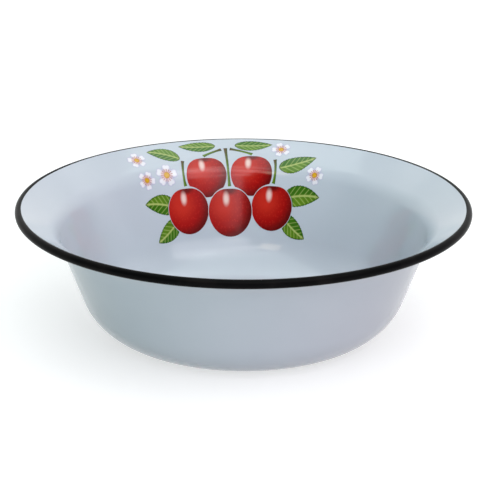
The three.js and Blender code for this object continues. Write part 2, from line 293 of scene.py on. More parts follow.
class BowlSection:
    """The sheet's middle from the bowl's axis to the end of the curl, and its coats' distances from it."""

    def __init__(self, sheet):
        self.half_steel = sheet.steel_thickness / 2
        self.ground_from = self.half_steel + sheet.bond_gap
        self.ground_to = self.ground_from + sheet.ground_thickness
        self.cover_from = self.ground_to + sheet.bond_gap
        self.face = self.cover_from + sheet.cover_thickness
        self.curl_radius = sheet.bead_diameter / 2 - self.face
        self.curl_centre = (sheet.rim_diameter - sheet.bead_diameter) / 2
        self.curl_height = sheet.bowl_height - sheet.bead_diameter / 2
        self.flange_angle = sheet.flange_angle
        self.black_edge = sheet.black_edge
        self.bond_turn = sheet.bond_gap / self.curl_radius
        mouth_cosine = (self.curl_radius - self.face - sheet.bead_mouth) / (self.curl_radius + self.face)
        self.curl_end = sheet.flange_angle - TURN + math.acos(mouth_cosine)
        self.to_flange_end = self.pressed_sheet(sheet)

    def pressed_sheet(self, sheet):
        """The wall's length follows from the bowl's height, and the base's radius from its rim."""
        flange_end = self.curl_station(sheet.flange_angle)
        corner = (sheet.corner_radius, 0, sheet.wall_angle)
        bend = (sheet.bend_radius, sheet.wall_angle, sheet.flange_angle)
        flange_rise = sheet.flange_length * math.sin(sheet.flange_angle)
        flange_run = sheet.flange_length * math.cos(sheet.flange_angle)
        wall_rise = flange_end.height - self.face - bend_rise(*corner) - bend_rise(*bend) - flange_rise
        if wall_rise <= 0:
            raise ValueError("the bowl is too low for its corner, bend and flange")
        wall_length = wall_rise / math.sin(sheet.wall_angle)
        wall_run = wall_length * math.cos(sheet.wall_angle)
        base_radius = flange_end.radius - flange_run - bend_run(*bend) - wall_run - bend_run(*corner)
        step_angle = math.acos(1 - sheet.panel_rise / (2 * sheet.step_radius))
        step_run = 2 * bend_run(sheet.step_radius, 0, step_angle)

        stations = [Station(0, self.face + sheet.panel_rise, 0)]
        walk_line(stations, base_radius - sheet.ring_width - step_run)
        walk_bend(stations, sheet.step_radius, -step_angle)
        walk_bend(stations, sheet.step_radius, 0)
        walk_line(stations, sheet.ring_width)
        walk_bend(stations, sheet.corner_radius, sheet.wall_angle)
        walk_line(stations, wall_length)
        walk_bend(stations, sheet.bend_radius, sheet.flange_angle)
        self.bend_end = stations[-1]
        walk_line(stations, sheet.flange_length)
        return stations

    def curl_station(self, heading):
        radius = self.curl_centre - self.curl_radius * math.sin(heading)
        height = self.curl_height + self.curl_radius * math.cos(heading)
        return Station(radius, height, heading)

    def curl(self, start, end, cuts):
        """Stations round the curl, from just after the first heading to the last."""
        return [self.curl_station(start + (end - start) * cut / cuts) for cut in range(1, cuts + 1)]

    def edge_at(self, around):
        """Heading on the curl where the dipped black ends, which wanders a little round the bowl."""
        wander = sum(share * math.sin(waves * around + phase) for waves, share, phase in EDGE_WAVES)
        return self.black_edge + EDGE_WANDER * wander

    def to_black_edge(self, around):
        end = self.edge_at(around) + self.bond_turn
        return self.to_flange_end + self.curl(self.flange_angle, end, EDGE_CUTS)

    def whole_sheet(self):
        cuts = math.ceil((self.flange_angle - self.curl_end) / CURL_STEP)
        return self.to_flange_end + self.curl(self.flange_angle, self.curl_end, cuts)

    def black_curl(self, around):
        edge = self.edge_at(around)
        cuts = math.ceil((self.black_edge - self.curl_end) / CURL_STEP)
        return [self.curl_station(edge)] + self.curl(edge, self.curl_end, cuts)


def coat(stations, lower, upper):
    """Closed section of a coat between two distances from the sheet's middle."""
    under = [offset(station, lower) for station in stations]
    over = [offset(station, upper) for station in reversed(stations)]
    return under + over


# Mesh building


def as_piece(name, mesh):
    """Turns a finished bmesh into an object with smooth faces and true sharp edges."""
    bmesh.ops.recalc_face_normals(mesh, faces=mesh.faces)
    data = bpy.data.meshes.new(name)
    mesh.to_mesh(data)
    mesh.free()
    data.shade_smooth()
    data.set_sharp_from_angle(angle=SHARP_ANGLE)
    piece = bpy.data.objects.new(name, data)
    bpy.context.scene.collection.objects.link(piece)
    return piece


def add_faces(mesh, grid):
    """Fills a grid of vertices with faces; where neighbours are one vertex, the face loses a corner."""
    for row, next_row in zip(grid, grid[1:]):
        for column in range(len(row) - 1):
            corners = (row[column], row[column + 1], next_row[column + 1], next_row[column])
            corners = list(dict.fromkeys(corners))
            if len(corners) > 2:
                mesh.faces.new(corners)


def revolve(name, section_at):
    """Turns a closed section round the bowl's axis; the section may change a little on its way round."""
    mesh = bmesh.new()
    on_axis = {}
    columns = []
    for cut in range(ROUND_CUTS):
        around = TURN * cut / ROUND_CUTS
        column = []
        for index, (radius, height) in enumerate(section_at(around)):
            if radius > ON_AXIS:
                place = (radius * math.sin(around), -radius * math.cos(around), height)
                column.append(mesh.verts.new(place))
            else:
                on_axis[index] = on_axis.get(index) or mesh.verts.new((0, 0, height))
                column.append(on_axis[index])
        columns.append(column + column[:1])
    add_faces(mesh, columns + columns[:1])
    return as_piece(name, mesh)


def dress(piece, finish, slot, *nodes):
    """Gives a piece its finish and body, and hides the nodes that it stands for."""
    piece.data.materials.append(finish)
    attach(piece, BODY)
    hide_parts(*nodes)


class PrintPlane:
    """The inside face unrolled below the black edge, where the print's design is laid out."""

    def __init__(self, section, sizes):
        self.width = sizes.width
        self.top = sizes.top
        self.film_under = sizes.film_gap
        self.film_over = sizes.film_gap + sizes.film_thickness
        self.middle = math.pi + sizes.turn
        self.radius = offset(section.bend_end, section.face)[0]
        sheet = section.to_flange_end + section.curl(section.flange_angle, section.black_edge, EDGE_CUTS)
        self.corners = [(*offset(station, section.face), station.heading) for station in reversed(sheet)]
        self.runs = [0.0]
        for above, below in zip(self.corners, self.corners[1:]):
            self.runs.append(self.runs[-1] + math.dist(above[:2], below[:2]))

    def place(self, x, y, lift):
        """The place in space of a point of the design, lifted off the enamel."""
        run = self.top + y * self.width
        index = bisect_right(self.runs, run)
        share = (run - self.runs[index - 1]) / (self.runs[index] - self.runs[index - 1])
        above, below = self.corners[index - 1], self.corners[index]
        radius, height, heading = (a + (b - a) * share for a, b in zip(above, below))
        radius -= lift * math.sin(heading)
        height += lift * math.cos(heading)
        around = self.middle - x * self.width / self.radius
        return radius * math.sin(around), -radius * math.cos(around), height


def film(name, plane, motif, cuts):
    """A thin closed film on the wall. motif(row share, column share) gives a point x, y of the design
    and the point u, v of the motif's own drawing, which its finish reads as the UV map "drawing".
    The UV map "outline" holds the row share, which is 1 at a round motif's outline."""
    rows, columns = cuts
    mesh = bmesh.new()
    drawing = mesh.loops.layers.uv.new("drawing")
    outline = mesh.loops.layers.uv.new("outline")
    spots = {}
    known = {}
    grid = []
    for row in range(rows + 1):
        line = []
        for column in range(columns + 1):
            x, y, u, v = motif(row / rows, column / columns)
            key = (round(x, SAME_POINT), round(y, SAME_POINT))
            if key not in known:
                known[key] = mesh.verts.new(plane.place(x, y, plane.film_over))
                spots[known[key]] = (x, y, u, v, row / rows)
            line.append(known[key])
        grid.append(line)
    add_faces(mesh, grid)
    over = list(mesh.faces)
    rim = [edge.verts[:] for edge in mesh.edges if edge.is_boundary]
    under = {}
    for vertex, spot in list(spots.items()):
        under[vertex] = mesh.verts.new(plane.place(spot[0], spot[1], plane.film_under))
        spots[under[vertex]] = spot
    for face in over:
        mesh.faces.new([under[vertex] for vertex in reversed(face.verts)])
    for first, second in rim:
        mesh.faces.new((first, second, under[second], under[first]))
    for face in mesh.faces:
        for loop in face.loops:
            _, _, u, v, share = spots[loop.vert]
            loop[drawing].uv = (u, v)
            loop[outline].uv = (share, 0)
    return as_piece(name, mesh)


# The print's motifs


def from_nearest(value, period):
    """The shortest way to the nearest multiple of a period."""
    return value - period * round(value / period)


def clear_of(cherries, point):
    """Moves a point that would lie behind one of the cherries to just beyond its outline."""
    for cherry in cherries:
        middle = Vector((cherry.x, cherry.y))
        away = point - middle
        away.length = max(away.length, cherry.radius + BEHIND_CLEARANCE)
        point = middle + away
    return point


def cherry_motif(cherry, in_front):
    middle = Vector((cherry.x, cherry.y))

    def motif(share, turn):
        around = turn * TURN
        from_top = from_nearest(around, TURN) / DIMPLE_SPREAD
        reach = cherry.radius * (1 - DIMPLE * math.exp(-(from_top ** 2)))
        edge = clear_of(in_front, middle + reach * Vector((math.sin(around), -math.cos(around))))
        point = middle.lerp(edge, share)
        u = (point.x - middle.x) / cherry.radius
        v = (middle.y - point.y) / cherry.radius
        return point.x, point.y, u, v

    return motif


def stalk_motif(cherry):
    start = Vector(cherry.joint)
    end = Vector((cherry.x, cherry.y - cherry.radius * (1 - DIMPLE) - STALK_CLEARANCE))
    across = Vector((start.y - end.y, end.x - start.x))
    middle = (start + end) / 2 + across * cherry.bow

    def motif(along, turn):
        point = start * (1 - along) ** 2 + middle * 2 * along * (1 - along) + end * along ** 2
        way = ((middle - start) * (1 - along) + (end - middle) * along).normalized()
        side = 2 * turn - 1
        half = STALK_WIDTH / 2 * (1 + STALK_FLARE * (2 * along - 1) ** 4)
        return point.x + side * half * way.y, point.y - side * half * way.x, along, side

    return motif


def leaf_motif(leaf):
    widest_at = LEAF_BASE_POWER / (LEAF_BASE_POWER + LEAF_TIP_POWER)
    base = Vector((leaf.x, leaf.y))
    ahead = Vector((math.cos(math.radians(leaf.way)), math.sin(math.radians(leaf.way))))
    aside = Vector((-ahead.y, ahead.x))

    def rib(along):
        return leaf.bow * leaf.length * 4 * along * (1 - along)

    def swell(at):
        return at ** LEAF_BASE_POWER * (1 - at) ** LEAF_TIP_POWER

    def place(along, reach):
        return base + ahead * leaf.length * along + aside * (rib(along) + reach * leaf.width / 2)

    def motif(share, turn):
        around = turn * TURN
        edge_at = (1 - math.cos(around)) / 2
        side = 1 if math.sin(around) < 0 else -1
        tooth = 1 - TOOTH_DEPTH * (edge_at * LEAF_TEETH % 1)
        edge = clear_of(CHERRIES, place(edge_at, side * tooth * swell(edge_at) / swell(widest_at)))
        point = place(LEAF_MIDDLE, 0).lerp(edge, share)
        along = (point - base).dot(ahead) / leaf.length
        reach = ((point - base).dot(aside) - rib(along)) / (leaf.width / 2)
        return point.x, point.y, along, reach

    return motif


def blossom_motif(blossom):
    turned = math.radians(blossom.turn)

    def motif(share, turn):
        around = turn * TURN
        from_petal = from_nearest(around, TURN / PETALS)
        petal = abs(math.cos(PETALS / 2 * from_petal)) ** PETAL_ROUNDING
        notch = NOTCH_DEPTH * math.exp(-((from_petal / NOTCH_SPREAD) ** 2))
        edge = CLEFT_REACH + (1 - CLEFT_REACH) * petal - notch
        reach = HEART_SHARE + (edge - HEART_SHARE) * share
        x = blossom.x + blossom.radius * reach * math.sin(around + turned)
        y = blossom.y - blossom.radius * reach * math.cos(around + turned)
        return x, y, reach * math.sin(around), reach * math.cos(around)

    return motif


def heart_motif(blossom):
    def motif(share, turn):
        u = share * math.sin(turn * TURN)
        v = share * math.cos(turn * TURN)
        reach = blossom.radius * HEART_SHARE
        return blossom.x + reach * u, blossom.y - reach * v, u, v

    return motif


# Finishes

GLASS_IOR = 1.52
RIPPLE_SIZE = 11 * MM
RIPPLE_HEIGHT = 0.05 * MM
PRINT_ROUGHNESS = 0.13
WHITE = (1, 1, 1, 1)
HALF = 0.5  # of a period, by which PINGPONG gives the way to the nearest whole one


def add_node(tree, kind, inputs=None, **settings):
    """Adds a node with its settings, and fills its inputs with values or links. A Mix of colours takes
    their share at 0 and the colours at 6 and 7, and gives the result at 2."""
    node = tree.nodes.new("ShaderNode" + kind)
    for name, value in settings.items():
        setattr(node, name, value)
    for socket, value in (inputs or {}).items():
        if isinstance(value, bpy.types.NodeSocket):
            tree.links.new(value, node.inputs[socket])
        else:
            node.inputs[socket].default_value = value
    return node


def new_finish(name):
    finish = bpy.data.materials.new(name)
    finish.use_nodes = True
    return finish, finish.node_tree, finish.node_tree.nodes["Principled BSDF"]


def fire_glass(tree, shader, roughness):
    """Fired glass: smooth and glossy, with the long soft ripple that melted enamel sets with."""
    shader.inputs["IOR"].default_value = GLASS_IOR
    shader.inputs["Roughness"].default_value = roughness
    place = add_node(tree, "TexCoord").outputs["Object"]
    ripple = add_node(tree, "TexNoise", {"Vector": place, "Scale": 1 / RIPPLE_SIZE, "Detail": 1.0})
    bump = add_node(tree, "Bump", {"Height": ripple.outputs[0], "Distance": RIPPLE_HEIGHT})
    tree.links.new(bump.outputs["Normal"], shader.inputs["Normal"])
    return place


def vitreous_white_enamel(colours):
    """Titanium-white enamel, sprayed and fired: a cool white, faintly cloudy where the coat is thinner,
    with a few burnt specks, under a glassy skin."""
    cloud_size = 45 * MM
    speck_spacing = 30 * MM
    speck_radius = 0.45 * MM  # drawn a little large, since a real speck is finer than a pixel
    speck_share = 0.35  # of the places where a speck could be
    finish, tree, shader = new_finish("vitreous_white_enamel")
    place = fire_glass(tree, shader, roughness=0.1)
    cloud = add_node(tree, "TexNoise", {"Vector": place, "Scale": 1 / cloud_size, "Detail": 2.0})
    tone = add_node(
        tree, "Mix", {0: cloud.outputs[0], 6: colours.white, 7: colours.cloud}, data_type="RGBA"
    )
    cells = add_node(tree, "TexVoronoi", {"Vector": place, "Scale": 1 / speck_spacing})
    reach = speck_radius / speck_spacing
    dot = add_node(tree, "Math", {0: cells.outputs["Distance"], 1: reach}, operation="LESS_THAN")
    chance = add_node(tree, "SeparateColor", {0: cells.outputs["Color"]})
    picked = add_node(tree, "Math", {0: chance.outputs[0], 1: speck_share}, operation="LESS_THAN")
    speck = add_node(tree, "Math", {0: dot.outputs[0], 1: picked.outputs[0]}, operation="MULTIPLY")
    specked = add_node(
        tree, "Mix", {0: speck.outputs[0], 6: tone.outputs[2], 7: colours.speck}, data_type="RGBA"
    )
    tree.links.new(specked.outputs[2], shader.inputs["Base Color"])
    return finish


def vitreous_black_enamel(colours):
    """Black edging enamel, dipped and fired: deep black with a soft sheen, a little browner where it
    ran thin."""
    run_size = 18 * MM
    sheen = 0.03  # far below clear glass, because the rim mirrors almost nothing
    finish, tree, shader = new_finish("vitreous_black_enamel")
    place = fire_glass(tree, shader, roughness=0.3)
    shader.inputs["Specular IOR Level"].default_value = sheen
    runs = add_node(tree, "TexNoise", {"Vector": place, "Scale": 1 / run_size, "Detail": 3.0})
    thin = add_node(tree, "MapRange", {"Value": runs.outputs[0], "From Min": 0.5, "From Max": 0.75})
    tone = add_node(
        tree, "Mix", {0: thin.outputs[0], 6: colours.black, 7: colours.black_thin}, data_type="RGBA"
    )
    tree.links.new(tone.outputs[2], shader.inputs["Base Color"])
    return finish


def cobalt_ground_enamel(colours):
    """Cobalt ground coat, dipped and fired: dark blue-black, satin from its fine bubbles."""
    bubble_size = 0.6 * MM
    finish, tree, shader = new_finish("cobalt_ground_enamel")
    place = fire_glass(tree, shader, roughness=0.35)
    bubbles = add_node(tree, "TexNoise", {"Vector": place, "Scale": 1 / bubble_size, "Detail": 2.0})
    tone = add_node(
        tree, "Mix", {0: bubbles.outputs[0], 6: colours.ground, 7: colours.black}, data_type="RGBA"
    )
    tree.links.new(tone.outputs[2], shader.inputs["Base Color"])
    return finish


def cold_rolled_steel(colours):
    """Cold-rolled steel, pressed and pickled: grey and satin, with faint drawing lines."""
    line_spacing = 1.2 * MM
    finish, tree, shader = new_finish("cold_rolled_steel")
    shader.inputs["Metallic"].default_value = 1.0
    place = add_node(tree, "TexCoord").outputs["Object"]
    lines = add_node(tree, "TexNoise", {"Vector": place, "Scale": 1 / line_spacing, "Detail": 2.0})
    tone = add_node(
        tree, "Mix", {0: lines.outputs[0], 6: colours.steel, 7: colours.ground}, data_type="RGBA"
    )
    rough = add_node(tree, "MapRange", {"Value": lines.outputs[0], "To Min": 0.32, "To Max": 0.5})
    tree.links.new(tone.outputs[2], shader.inputs["Base Color"])
    tree.links.new(rough.outputs[0], shader.inputs["Roughness"])
    return finish


def fired_cherry_print(colours):
    """Ceramic transfer print, fired into the glaze: a cherry shaded from its lit side to its turned edge,
    with a soft highlight, pale skin dots and a dark dimple."""
    dot_spacing = 2.7 * MM
    cherry_radius = 16.9 * MM  # a middling one, since the drawing is in shares of it
    lit_spot = (-0.3, 0.28, 0)
    finish, tree, shader = new_finish("fired_cherry_print")
    fire_glass(tree, shader, PRINT_ROUGHNESS)
    drawing = add_node(tree, "UVMap", uv_map="drawing").outputs[0]

    from_light = add_node(tree, "VectorMath", {0: drawing, 1: lit_spot}, operation="DISTANCE")
    lit = add_node(
        tree, "MapRange", {"Value": from_light.outputs["Value"], "From Min": 0.15, "From Max": 0.95},
        interpolation_type="SMOOTHSTEP",
    )
    body = add_node(
        tree, "Mix", {0: lit.outputs[0], 6: colours.cherry_light, 7: colours.cherry}, data_type="RGBA"
    )
    cells = add_node(
        tree, "TexVoronoi", {"Vector": drawing, "Scale": cherry_radius / dot_spacing},
        voronoi_dimensions="2D",
    )
    dots = add_node(
        tree, "MapRange",
        {
            "Value": cells.outputs["Distance"], "From Min": 0.1, "From Max": 0.3,
            "To Min": 0.45, "To Max": 0.0,
        },
    )
    dotted = add_node(
        tree, "Mix", {0: dots.outputs[0], 6: body.outputs[2], 7: colours.cherry_light}, data_type="RGBA"
    )
    turned = add_node(
        tree, "MapRange",
        {"Value": from_light.outputs["Value"], "From Min": 0.8, "From Max": 1.4, "To Max": 0.95},
        interpolation_type="SMOOTHSTEP",
    )
    shaded = add_node(
        tree, "Mix", {0: turned.outputs[0], 6: dotted.outputs[2], 7: colours.cherry_dark}, data_type="RGBA"
    )
    dimple_place = add_node(
        tree, "Mapping", {"Vector": drawing, "Location": (0, -1.5, 0), "Scale": (1, 1.7, 1)}
    )
    from_dimple = add_node(tree, "VectorMath", {0: dimple_place.outputs[0]}, operation="LENGTH")
    dimple = add_node(
        tree, "MapRange",
        {
            "Value": from_dimple.outputs["Value"], "From Min": 0.1, "From Max": 0.45,
            "To Min": 0.9, "To Max": 0.0,
        },
        interpolation_type="SMOOTHSTEP",
    )
    dimpled = add_node(
        tree, "Mix", {0: dimple.outputs[0], 6: shaded.outputs[2], 7: colours.cherry_dark}, data_type="RGBA"
    )
    shine_place = add_node(
        tree, "Mapping",
        {"Vector": drawing, "Location": (0.62, -0.28, 0), "Rotation": (0, 0, 0.6), "Scale": (2.1, 1.1, 1)},
    )
    from_shine = add_node(tree, "VectorMath", {0: shine_place.outputs[0]}, operation="LENGTH")
    shine = add_node(
        tree, "MapRange",
        {
            "Value": from_shine.outputs["Value"], "From Min": 0.08, "From Max": 0.42,
            "To Min": 0.85, "To Max": 0.0,
        },
        interpolation_type="SMOOTHSTEP",
    )
    shiny = add_node(
        tree, "Mix", {0: shine.outputs[0], 6: dimpled.outputs[2], 7: colours.cherry_shine}, data_type="RGBA"
    )
    tree.links.new(shiny.outputs[2], shader.inputs["Base Color"])
    return finish


def fired_leaf_print(colours):
    """Ceramic transfer print, fired into the glaze: a leaf with one lighter half, a pale rib and veins
    that sweep toward the tip, and a dark edge."""
    vein_count = 7
    vein_sweep = 0.24  # of the leaf's length, from the rib to the edge
    mottle_size = 7 * MM
    finish, tree, shader = new_finish("fired_leaf_print")
    place = fire_glass(tree, shader, PRINT_ROUGHNESS)
    drawing = add_node(tree, "UVMap", uv_map="drawing").outputs[0]
    outline = add_node(tree, "UVMap", uv_map="outline").outputs[0]
    axes = add_node(tree, "SeparateXYZ", {0: drawing})
    along, across = axes.outputs[0], axes.outputs[1]

    mottle = add_node(tree, "TexNoise", {"Vector": place, "Scale": 1 / mottle_size, "Detail": 3.0})
    half = add_node(tree, "MapRange", {"Value": across, "From Min": -0.25, "From Max": 0.3})
    light = add_node(tree, "Math", {0: half.outputs[0], 1: mottle.outputs[0]}, operation="MULTIPLY")
    body = add_node(
        tree, "Mix", {0: light.outputs[0], 6: colours.leaf, 7: colours.leaf_light}, data_type="RGBA"
    )
    aside = add_node(tree, "Math", {0: across}, operation="ABSOLUTE")
    swept = add_node(
        tree, "Math", {0: aside.outputs[0], 1: -vein_sweep, 2: along}, operation="MULTIPLY_ADD"
    )
    phase = add_node(tree, "Math", {0: swept.outputs[0], 1: vein_count}, operation="MULTIPLY")
    from_vein = add_node(tree, "Math", {0: phase.outputs[0], 1: HALF}, operation="PINGPONG")
    veins = add_node(
        tree, "MapRange",
        {"Value": from_vein.outputs[0], "From Min": 0.03, "From Max": 0.13, "To Min": 0.6, "To Max": 0.0},
    )
    furrows = add_node(
        tree, "MapRange",
        {"Value": from_vein.outputs[0], "From Min": 0.3, "From Max": 0.5, "To Min": 0.0, "To Max": 0.35},
    )
    furrowed = add_node(
        tree, "Mix", {0: furrows.outputs[0], 6: body.outputs[2], 7: colours.leaf_dark}, data_type="RGBA"
    )
    veined = add_node(
        tree, "Mix", {0: veins.outputs[0], 6: furrowed.outputs[2], 7: colours.vein}, data_type="RGBA"
    )
    rib = add_node(
        tree, "MapRange",
        {"Value": aside.outputs[0], "From Min": 0.04, "From Max": 0.13, "To Min": 0.9, "To Max": 0.0},
    )
    ribbed = add_node(
        tree, "Mix", {0: rib.outputs[0], 6: veined.outputs[2], 7: colours.vein}, data_type="RGBA"
    )
    to_edge = add_node(tree, "SeparateXYZ", {0: outline})
    edge = add_node(
        tree, "MapRange", {"Value": to_edge.outputs[0], "From Min": 0.86, "From Max": 0.98, "To Max": 0.8}
    )
    edged = add_node(
        tree, "Mix", {0: edge.outputs[0], 6: ribbed.outputs[2], 7: colours.leaf_dark}, data_type="RGBA"
    )
    tree.links.new(edged.outputs[2], shader.inputs["Base Color"])
    return finish


def fired_stalk_print(colours):
    """Ceramic transfer print, fired into the glaze: a green stalk, brown at its joint, shaded round."""
    finish, tree, shader = new_finish("fired_stalk_print")
    fire_glass(tree, shader, PRINT_ROUGHNESS)
    drawing = add_node(tree, "UVMap", uv_map="drawing").outputs[0]
    axes = add_node(tree, "SeparateXYZ", {0: drawing})
    ripe = add_node(tree, "MapRange", {"Value": axes.outputs[0], "From Min": 0.05, "From Max": 0.6})
    body = add_node(
        tree, "Mix", {0: ripe.outputs[0], 6: colours.stalk_brown, 7: colours.stalk}, data_type="RGBA"
    )
    round_side = add_node(
        tree, "MapRange", {"Value": axes.outputs[1], "From Min": -0.2, "From Max": 1.0, "To Max": 0.8}
    )
    shaded = add_node(
        tree, "Mix", {0: round_side.outputs[0], 6: body.outputs[2], 7: colours.leaf_dark}, data_type="RGBA"
    )
    tree.links.new(shaded.outputs[2], shader.inputs["Base Color"])
    return finish


def fired_petal_print(colours):
    """Ceramic transfer print, fired into the glaze: white petals with violet folds and edges, a blush
    and brown stamens round the heart."""
    stamen_count = 15
    stamen_half_width = 0.13  # of the way from one stamen to the next
    stamen_reach = 0.52  # of a blossom's radius
    finish, tree, shader = new_finish("fired_petal_print")
    fire_glass(tree, shader, PRINT_ROUGHNESS)
    drawing = add_node(tree, "UVMap", uv_map="drawing").outputs[0]
    outline = add_node(tree, "UVMap", uv_map="outline").outputs[0]
    axes = add_node(tree, "SeparateXYZ", {0: drawing})
    reach = add_node(tree, "VectorMath", {0: drawing}, operation="LENGTH").outputs["Value"]
    around = add_node(tree, "Math", {0: axes.outputs[0], 1: axes.outputs[1]}, operation="ARCTAN2")

    petal_turn = add_node(tree, "Math", {0: around.outputs[0], 1: PETALS / TURN}, operation="MULTIPLY")
    from_middle = add_node(tree, "Math", {0: petal_turn.outputs[0], 1: HALF}, operation="PINGPONG")
    fold = add_node(
        tree, "MapRange",
        {"Value": from_middle.outputs[0], "From Min": 0.22, "From Max": 0.48, "To Max": 0.85},
    )
    folded = add_node(
        tree, "Mix", {0: fold.outputs[0], 6: colours.petal, 7: colours.petal_shade}, data_type="RGBA"
    )
    to_edge = add_node(tree, "SeparateXYZ", {0: outline})
    edge = add_node(
        tree, "MapRange", {"Value": to_edge.outputs[0], "From Min": 0.84, "From Max": 1.0, "To Max": 0.75}
    )
    edged = add_node(
        tree, "Mix", {0: edge.outputs[0], 6: folded.outputs[2], 7: colours.petal_shade}, data_type="RGBA"
    )
    near = add_node(
        tree, "MapRange",
        {"Value": reach, "From Min": 0.3, "From Max": 0.62, "To Min": 0.8, "To Max": 0.0},
    )
    blushed = add_node(
        tree, "Mix", {0: near.outputs[0], 6: edged.outputs[2], 7: colours.petal_blush}, data_type="RGBA"
    )
    stamen_turn = add_node(
        tree, "Math", {0: around.outputs[0], 1: stamen_count / TURN}, operation="MULTIPLY"
    )
    from_stamen = add_node(tree, "Math", {0: stamen_turn.outputs[0], 1: HALF}, operation="PINGPONG")
    thread = add_node(
        tree, "Math", {0: from_stamen.outputs[0], 1: stamen_half_width}, operation="LESS_THAN"
    )
    short = add_node(tree, "Math", {0: reach, 1: stamen_reach}, operation="LESS_THAN")
    stamen = add_node(tree, "Math", {0: thread.outputs[0], 1: short.outputs[0]}, operation="MULTIPLY")
    drawn = add_node(
        tree, "Mix", {0: stamen.outputs[0], 6: blushed.outputs[2], 7: colours.stamen}, data_type="RGBA"
    )
    tree.links.new(drawn.outputs[2], shader.inputs["Base Color"])
    return finish


def fired_heart_print(colours):
    """Ceramic transfer print, fired into the glaze: a yellow heart with brown anthers, darker round
    its edge."""
    anther_spacing = 1 * MM
    heart_radius = 2 * MM  # a middling one, since the drawing is in shares of it
    finish, tree, shader = new_finish("fired_heart_print")
    fire_glass(tree, shader, PRINT_ROUGHNESS)
    drawing = add_node(tree, "UVMap", uv_map="drawing").outputs[0]
    cells = add_node(
        tree, "TexVoronoi", {"Vector": drawing, "Scale": heart_radius / anther_spacing},
        voronoi_dimensions="2D",
    )
    anthers = add_node(
        tree, "MapRange",
        {
            "Value": cells.outputs["Distance"], "From Min": 0.2, "From Max": 0.35,
            "To Min": 0.9, "To Max": 0.0,
        },
    )
    body = add_node(
        tree, "Mix", {0: anthers.outputs[0], 6: colours.heart, 7: colours.heart_dot}, data_type="RGBA"
    )
    reach = add_node(tree, "VectorMath", {0: drawing}, operation="LENGTH")
    edge = add_node(
        tree, "MapRange", {"Value": reach.outputs["Value"], "From Min": 0.7, "From Max": 1.0, "To Max": 0.7}
    )
    edged = add_node(
        tree, "Mix", {0: edge.outputs[0], 6: body.outputs[2], 7: colours.heart_dot}, data_type="RGBA"
    )
    tree.links.new(edged.outputs[2], shader.inputs["Base Color"])
    return finish


def ray_of(tree, *kinds):
    """A socket that is 1 for rays of any of these kinds and 0 for all others."""
    rays = add_node(tree, "LightPath").outputs
    found = rays[kinds[0]]
    for kind in kinds[1:]:
        found = add_node(tree, "Math", {0: found, 1: rays[kind]}, operation="MAXIMUM").outputs[0]
    return found


def matte_white_paper(colours):
    """Uncoated studio paper: matt and pale. Seen directly or in a reflection it glows: near the bowl only
    most of the way to white, so that the lamps do the rest and it keeps the shadow, and fully far off."""
    near_glow = 0.62
    near_reach = 500 * MM
    far_reach = 2000 * MM
    finish, tree, shader = new_finish("matte_white_paper")
    shader.inputs["Base Color"].default_value = colours.floor
    shader.inputs["Roughness"].default_value = 0.9
    shader.inputs["Specular IOR Level"].default_value = 0.0
    place = add_node(tree, "TexCoord").outputs["Object"]
    reach = add_node(tree, "VectorMath", {0: place}, operation="LENGTH")
    glow = add_node(
        tree, "MapRange",
        {
            "Value": reach.outputs["Value"], "From Min": near_reach, "From Max": far_reach,
            "To Min": near_glow,
        },
    )
    seen = ray_of(tree, "Is Camera Ray", "Is Glossy Ray", "Is Transmission Ray")
    strength = add_node(tree, "Math", {0: seen, 1: glow.outputs[0]}, operation="MULTIPLY")
    shader.inputs["Emission Color"].default_value = WHITE
    tree.links.new(strength.outputs[0], shader.inputs["Emission Strength"])
    return finish


# Operators, one for each group of pieces


class BOWL_OT_steel_sheet(bpy.types.Operator):
    """Builds the pressed steel sheet with its base panel, standing ring, flange and open curl"""

    bl_idname = "bowl.steel_sheet"
    bl_label = "Steel sheet"

    def execute(self, context):
        section = BowlSection(context.scene.bowl_sheet)
        profile = coat(section.whole_sheet(), -section.half_steel, section.half_steel)
        piece = revolve("pressed_sheet", lambda around: profile)
        dress(piece, cold_rolled_steel(context.scene.bowl_colours), "sheet_steel", "steel_bowl")
        return {"FINISHED"}


class BOWL_OT_ground_coats(bpy.types.Operator):
    """Builds the dark ground enamel on both faces of the sheet"""

    bl_idname = "bowl.ground_coats"
    bl_label = "Ground coats"

    def execute(self, context):
        section = BowlSection(context.scene.bowl_sheet)
        finish = cobalt_ground_enamel(context.scene.bowl_colours)
        inside = revolve(
            "inner_ground_coat",
            lambda around: coat(section.to_black_edge(around), section.ground_from, section.ground_to),
        )
        dress(inside, finish, "ground_enamel", "ground_coat_inside")
        profile = coat(section.to_flange_end, -section.ground_to, -section.ground_from)
        outside = revolve("outer_ground_coat", lambda around: profile)
        dress(outside, finish, "ground_enamel", "ground_coat_outside")
        return {"FINISHED"}


class BOWL_OT_white_enamel(bpy.types.Operator):
    """Builds the white cover enamel on both faces of the bowl"""

    bl_idname = "bowl.white_enamel"
    bl_label = "White enamel"

    def execute(self, context):
        section = BowlSection(context.scene.bowl_sheet)
        finish = vitreous_white_enamel(context.scene.bowl_colours)
        inside = revolve(
            "inner_white_coat",
            lambda around: coat(section.to_black_edge(around), section.cover_from, section.face),
        )
        dress(inside, finish, "white_enamel", "white_enamel_inside")
        profile = coat(section.to_flange_end, -section.face, -section.cover_from)
        outside = revolve("outer_white_coat", lambda around: profile)
        dress(outside, finish, "white_enamel", "white_enamel_outside")
        return {"FINISHED"}


class BOWL_OT_black_rim(bpy.types.Operator):
    """Builds the dipped black enamel round the curl"""

    bl_idname = "bowl.black_rim"
    bl_label = "Black rim"

    def execute(self, context):
        section = BowlSection(context.scene.bowl_sheet)
        rim = revolve(
            "black_edging",
            lambda around: coat(section.black_curl(around), section.ground_from, section.face),
        )
        dress(rim, vitreous_black_enamel(context.scene.bowl_colours), "black_enamel", "black_rim_enamel")
        return {"FINISHED"}


